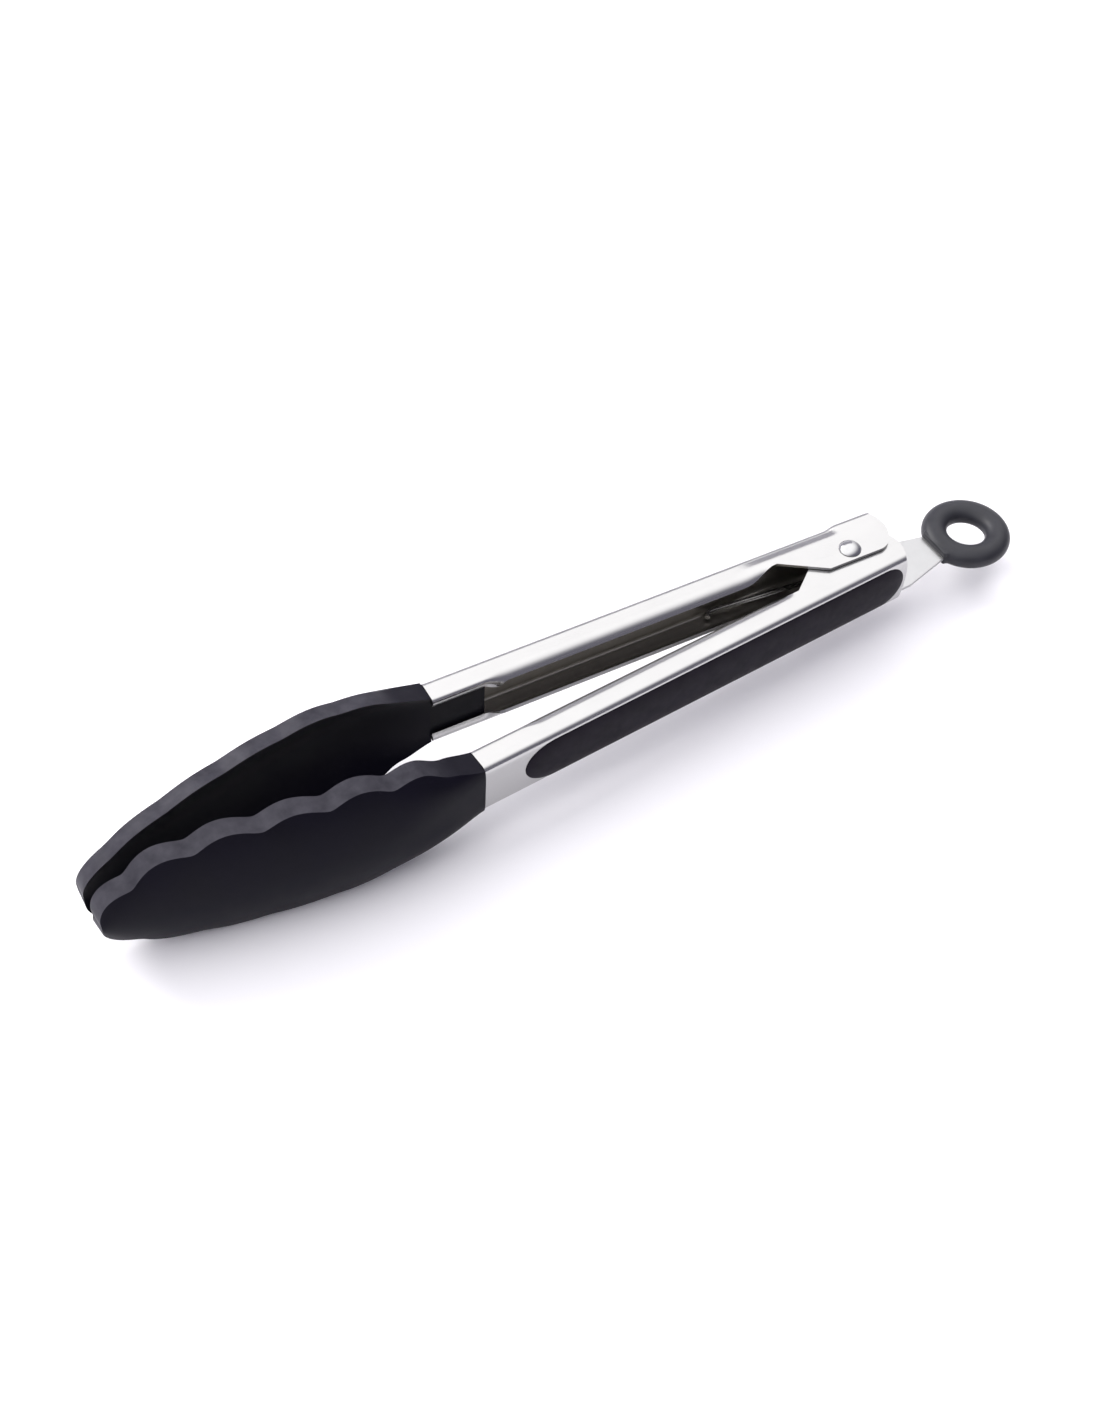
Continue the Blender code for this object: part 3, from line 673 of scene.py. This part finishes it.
def rim_waves(fractions):
    """Per station: how far the rim waves out, and the outline's normal (along u, along z)."""
    points = [(HEAD_LENGTH * s, head_half_width(s)) for s in fractions]
    run = [0.0]
    for a, b in zip(points, points[1:]):
        run.append(run[-1] + math.dist(a, b))
    fade_start, fade_run = SCALLOP_FADE
    waves = []
    for i, length in enumerate(run):
        along = length / run[-1]
        phase = SCALLOPS_PER_SIDE * along - SCALLOP_PHASE
        crest = math.sqrt((math.cos(math.pi * phase) ** 2 + VALLEY_ROUND) / (1 + VALLEY_ROUND))
        lift = SCALLOP_HEIGHT * (2 * crest - SCALLOP_MIDDLE) * smoothstep((along - fade_start) / fade_run)
        a, b = points[max(i - 1, 0)], points[min(i + 1, len(points) - 1)]
        span = math.dist(a, b)
        waves.append((lift, (a[1] - b[1]) / span, (b[0] - a[0]) / span))
    return waves


def head_skin(word, side, finish):
    """Silicone head with a drafted, scalloped rim."""
    name = word + "_head_silicone"
    stations = 190
    almost_tip = 0.985              # the last ring is 0.02 mm short of the tip, not a point
    fractions = [1 - (1 - almost_tip * i / stations) ** 2 for i in range(stations + 1)]
    half_count = 22
    across = [math.sin(math.pi / 2 * i / half_count) for i in range(-half_count, half_count + 1)]
    rings = []
    for s, (lift, along_u, along_z) in zip(fractions, rim_waves(fractions)):
        half = head_half_width(s)
        draft = min(RIM_DRAFT, 0.2 * half)
        nose = smoothstep((s - TIP_START) / (1 - TIP_START))
        ring = []
        for surface, order, narrow in ((head_outside, across, draft), (head_inside, across[::-1], 0.0)):
            for v in order:
                edge = abs(v) ** 8      # the waves fade out quickly away from the rim
                spread = lift * math.sin(SCALLOP_LEAN)
                u = ARM_LENGTH + FIT_GAP + HEAD_LENGTH * s + spread * along_u * max(edge, nose)
                z = math.copysign((half - narrow) * abs(v) + spread * along_z * edge, v)
                q = surface(s, v) - lift * math.cos(SCALLOP_LEAN) * max(edge, nose)
                ring.append(arm_point(side, u, q, z))
        rings.append(ring)
    mesh = loft(name, rings)
    mark_rim(mesh, len(across), fractions)
    obj = add(name, mesh, finish)
    step = obj.modifiers.new("round", 'BEVEL')
    step.width = RIM_ROUNDING
    step.segments = 4
    step.limit_method = 'WEIGHT'
    step.harden_normals = True
    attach(obj, word + "_arm")
    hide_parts(word + "_head_shell")


def mark_rim(mesh, width, fractions):
    """Bevel weights on the four long rim edges and both ends, and the mask of the rim's dust and painted
    sheen.
    """
    weight = mesh.attributes.new("bevel_weight_edge", 'FLOAT', 'EDGE')
    rim = mesh.attributes.new("rim", 'FLOAT', 'POINT')
    count = 2 * width
    corners = {0, width - 1, width, count - 1}
    fade_start, fade_run = RIM_DUST_AND_SHEEN_FADE
    for vertex in mesh.vertices:
        along = fractions[vertex.index // count]
        # the rim's dust and painted sheen are weak at the neck and grow towards the tip
        rim_dust_and_sheen = mix(RIM_DUST_AND_SHEEN_AT_NECK, 1.0, smoothstep((along - fade_start) / fade_run))
        rim.data[vertex.index].value = rim_dust_and_sheen if vertex.index % count in corners else 0.0
    for edge in mesh.edges:
        a, b = sorted(edge.vertices)
        ring_a, ring_b = a // count, b // count
        along_rim = ring_a != ring_b and a % count in corners
        at_end = ring_a == ring_b and ring_a in (0, len(fractions) - 1)
        weight.data[edge.index].value = 1.0 if along_rim or at_end else 0.0


def tang(word, finish):
    """The core is the CAD solid with softened edges."""
    node = frame["nodes"][word + "_head_core"]
    node.data.materials.clear()
    node.data.materials.append(finish)
    round_edges(node, 0.2 * MM, 3, 40)


# ---- pivot -------------------------------------------------------------------------------
def rivet(finish):
    """Round rivet with two low domes and a soft lower edge."""
    profile = [(0, -RIVET_SEAT - RIVET_HEAD_HEIGHT)]
    steps = 18
    cap = []
    for i in range(1, steps + 1):
        a = DOME_HALF_ANGLE * i / steps
        rise = (math.cos(a) - math.cos(DOME_HALF_ANGLE)) / (1 - math.cos(DOME_HALF_ANGLE))
        cap.append((RIVET_HEAD_RADIUS * math.sin(a) / math.sin(DOME_HALF_ANGLE),
                    mix(DOME_EDGE, RIVET_HEAD_HEIGHT, rise)))
    cap.append((RIVET_HEAD_RADIUS - DOME_UNDERCUT, 0.0))
    profile += [(r, -RIVET_SEAT - rise) for r, rise in cap]
    profile += [(SHANK_RADIUS, -RIVET_SEAT), (SHANK_RADIUS, RIVET_SEAT)]
    profile += [(r, RIVET_SEAT + rise) for r, rise in reversed(cap)]
    profile.append((0, RIVET_SEAT + RIVET_HEAD_HEIGHT))
    obj = add("rivet_dome", lathe("rivet_dome", profile, 72, PIVOT), finish, "pivot", 50.0)
    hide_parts("pivot_rivet")


def sleeve(finish):
    """The sleeve is the CAD solid."""
    node = frame["nodes"]["spacer_sleeve"]
    node.data.materials.clear()
    node.data.materials.append(finish)


def spring_path():
    """Middle line of the wire: top leg on the near arm, coil, bottom leg on the far arm."""
    def leg(side, level, drop):
        reach = BACK_OFFSET - SHEET - LEG_CLEARANCE - WIRE_RADIUS
        c, s = math.cos(REST_HALF_ANGLE), math.sin(REST_HALF_ANGLE)
        end = Vector((-LEG_LENGTH * c + reach * s, side * (LEG_LENGTH * s + reach * c), level - drop))
        hook = ((-1.2, -1.6), (-0.5, -0.4), (0.8, 0.0))
        return [end + Vector((x, side * y, 0)) * MM for x, y in hook]

    steps = int(COIL_TURNS * WIRE_POINTS_PER_TURN)
    top = leg(-1, COIL_TOP, 0)
    bottom = leg(1, COIL_BOTTOM, LOWER_LEG_DROP)[::-1]
    coil = []
    for i in range(steps + 1):
        part = i / steps
        a = -math.pi / 2 + math.tau * COIL_TURNS * part
        coil.append(Vector((COIL_RADIUS * math.cos(a), COIL_RADIUS * math.sin(a),
                            mix(COIL_TOP, COIL_BOTTOM, part))))
    lead_in = [top[-1].lerp(coil[0], i / 8) for i in range(1, 8)]
    lead_out = [coil[-1].lerp(bottom[0], i / 8) for i in range(1, 8)]
    return [PIVOT + p for p in top + lead_in + coil + lead_out + bottom]


def tube(name, path, radius, sides):
    """A round wire along a path, with its frame carried smoothly from point to point."""
    rings = []
    side_way = Vector((0, 0, 1))
    for i, point in enumerate(path):
        ahead = (path[min(i + 1, len(path) - 1)] - path[max(i - 1, 0)]).normalized()
        side_way = (side_way - ahead * side_way.dot(ahead)).normalized()
        other = ahead.cross(side_way)
        rings.append([point + radius * (side_way * math.cos(math.tau * k / sides)
                                        + other * math.sin(math.tau * k / sides)) for k in range(sides)])
    return loft(name, rings)


def spring(finish):
    """Coil spring whose legs lie along one arm each."""
    obj = add("spring_wire", tube("spring_wire", spring_path(), WIRE_RADIUS, 16), finish, None, 50.0)
    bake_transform(obj)
    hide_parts("torsion_spring")


# ---- lock ----------------------------------------------------------------------------------
def lock_tab(finish):
    """Flat plate that tapers to the ring, with the rivet's long slot."""
    outline = [(x * MM, y * MM) for x, y in PLATE_SIDE]
    outline += [(x, -y) for x, y in reversed(outline)]
    rings = [[PIVOT + Vector((x, y, z)) for x, y in outline] for z in (PLATE_BOTTOM, PLATE_TOP)]
    obj = add("lock_tab", loft("lock_tab", rings), finish)
    round_edges(obj, 0.12 * MM, 3, 25)
    apply_modifiers(obj)
    slot_end = SLOT_HALF_WIDTH + SLOT_SLACK
    slot = stadium(-slot_end, PLATE_TRAVEL + slot_end, SLOT_HALF_WIDTH, 24)
    levels = (PLATE_BOTTOM - MM, PLATE_TOP + MM)
    cut(obj, loft("slot", [[PIVOT + Vector((x, y, z)) for x, y in slot] for z in levels]))
    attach(obj, "lock")
    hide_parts("lock_plate")


def ring_shape(finish):
    """Moulded ring whose front is squared off round the plate's tongue."""
    segments, sides = 120, 40
    face = TAPER_END + FIT_GAP
    verts = []
    for i in range(segments):
        turn = math.tau * i / segments
        for k in range(sides):
            roll = math.tau * k / sides
            reach = RING_RADIUS + RING_HALF_RADIAL * math.cos(roll)
            x = RING_CENTRE + reach * math.cos(turn)
            verts.append(PIVOT + Vector((max(x, face), reach * math.sin(turn),
                                         PLATE_LEVEL + RING_HALF_THICK * math.sin(roll))))
    faces = []
    for i in range(segments):
        for k in range(sides):
            a, b = i * sides, (i + 1) % segments * sides
            n = (k + 1) % sides
            faces.append([a + k, b + k, b + n, a + n])
    base = len(verts)
    boss = [(face, -BOSS_HALF_FRONT), (BOSS_END, -BOSS_HALF_BACK), (BOSS_END, BOSS_HALF_BACK),
            (face, BOSS_HALF_FRONT)]
    for z in (PLATE_LEVEL - BOSS_HALF_THICK, PLATE_LEVEL + BOSS_HALF_THICK):
        verts += [PIVOT + Vector((x, y, z)) for x, y in boss]
    faces += [[base + 3, base + 2, base + 1, base], [base + 4, base + 5, base + 6, base + 7]]
    faces += [[base + i, base + (i + 1) % 4, base + 4 + (i + 1) % 4, base + 4 + i] for i in range(4)]
    obj = add("ring_moulding", mesh_from("ring_moulding", verts, faces), finish)
    step = obj.modifiers.new("fuse", 'REMESH')
    step.mode = 'VOXEL'
    step.voxel_size = RING_VOXEL
    step.use_smooth_shade = True
    step = obj.modifiers.new("soften", 'SMOOTH')
    step.factor = 0.5
    step.iterations = 4
    apply_modifiers(obj)
    obj.data.shade_smooth()
    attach(obj, "lock")
    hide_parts("hang_ring")


# ---- stage -----------------------------------------------------------------------------------
def stage_floor(finish):
    """Large sheet that curves up a long way behind."""
    rows = [(FLOOR_FRONT, 0.0)]
    for degrees in range(0, 91, 10):
        a = math.radians(degrees)
        rows.append((FLOOR_BEND + FLOOR_CURVE * math.sin(a), FLOOR_CURVE * (1 - math.cos(a))))
    rows.append((FLOOR_BEND + FLOOR_CURVE, FLOOR_TOP))
    verts = [(x, y, z) for y, z in rows for x in (-FLOOR_HALF_WIDTH, FLOOR_HALF_WIDTH)]
    faces = [[2 * i, 2 * i + 1, 2 * i + 3, 2 * i + 2] for i in range(len(rows) - 1)]
    mesh = bpy.data.meshes.new("floor")
    mesh.from_pydata(verts, [], faces)
    add("floor", mesh, finish)


def area_light(name, place, target, size, power, colour):
    """Rectangular lamp aimed at a target."""
    data = bpy.data.lights.new(name, 'AREA')
    data.shape = 'RECTANGLE'
    data.size, data.size_y = size
    data.energy = power
    data.color = colour
    lamp = bpy.data.objects.new(name, data)
    bpy.context.collection.objects.link(lamp)
    lamp.location = place
    lamp.rotation_euler = (Vector(target) - Vector(place)).to_track_quat('-Z', 'Y').to_euler()


def lights():
    """A tent that lights from above and behind and looks plain white itself, and a soft lamp."""
    world = bpy.data.worlds.new("studio")
    bpy.context.scene.world = world
    world.use_nodes = True
    nodes, links = world.node_tree.nodes, world.node_tree.links
    place = nodes.new('ShaderNodeTexCoord')
    dot = nodes.new('ShaderNodeVectorMath')
    dot.operation = 'DOT_PRODUCT'
    dot.inputs[1].default_value = TENT_BRIGHT_WAY.normalized()
    links.new(place.outputs["Generated"], dot.inputs[0])
    ramp = nodes.new('ShaderNodeMapRange')
    ramp.interpolation_type = 'SMOOTHSTEP'
    ramp.inputs["From Min"].default_value = TENT_EDGE[0]
    ramp.inputs["From Max"].default_value = TENT_EDGE[1]
    links.new(dot.outputs["Value"], ramp.inputs["Value"])
    blend = nodes.new('ShaderNodeMix')
    blend.data_type = 'RGBA'
    blend.inputs["A"].default_value = (*TENT_DIM, 1.0)
    blend.inputs["B"].default_value = (*TENT_BRIGHT, 1.0)
    links.new(ramp.outputs["Result"], blend.inputs["Factor"])
    seen = nodes.new('ShaderNodeMix')
    seen.data_type = 'RGBA'
    seen.inputs["B"].default_value = (*BACKDROP, 1.0)
    links.new(nodes.new('ShaderNodeLightPath').outputs["Is Camera Ray"], seen.inputs["Factor"])
    links.new(blend.outputs["Result"], seen.inputs["A"])
    links.new(seen.outputs["Result"], nodes["Background"].inputs["Color"])
    area_light("key", KEY_PLACE, KEY_TARGET, KEY_SIZE, KEY_POWER, KEY_COLOUR)


def camera():
    """Camera at the photograph's place."""
    data = bpy.data.cameras.new("camera")
    data.lens = CAMERA_LENS
    data.sensor_width = 36.0
    data.clip_start = 0.01
    lens = bpy.data.objects.new("camera", data)
    bpy.context.collection.objects.link(lens)
    back = CAMERA_BACK.normalized()
    right = (CAMERA_RIGHT - back * CAMERA_RIGHT.dot(back)).normalized()
    up = back.cross(right)
    turn = Matrix((right, up, back)).transposed().to_4x4()
    lens.matrix_world = Matrix.Translation(CAMERA_PLACE) @ turn
    bpy.context.scene.camera = lens


def build():
    silicone_skin = silicone("silicone")
    core_skin = nylon("nylon")
    pad_skin = grip_rubber("grip_rubber")
    plate_skin = plate_steel("plate_steel")
    for word, side in (("near", -1), ("far", 1)):
        turn = side * REST_HALF_ANGLE
        # the second steel is the channel's inside, darkened as painted shade
        arm_steel(word, side, brushed_steel("brushed_steel_" + word, turn),
                  painted_shade_steel("painted_shade_steel_" + word, turn))
        grip_pad(word, side, pad_skin)
        head_skin(word, side, silicone_skin)
        tang(word, core_skin)
    rivet(polished_steel("polished_steel"))
    sleeve(plate_skin)
    spring(spring_wire("spring_wire"))
    lock_tab(plate_skin)
    ring_shape(ring_rubber("ring_rubber"))
    stage_floor(floor_paper("floor_paper"))
    lights()
    camera()
    bpy.context.scene.view_settings.view_transform = 'Standard'


build()
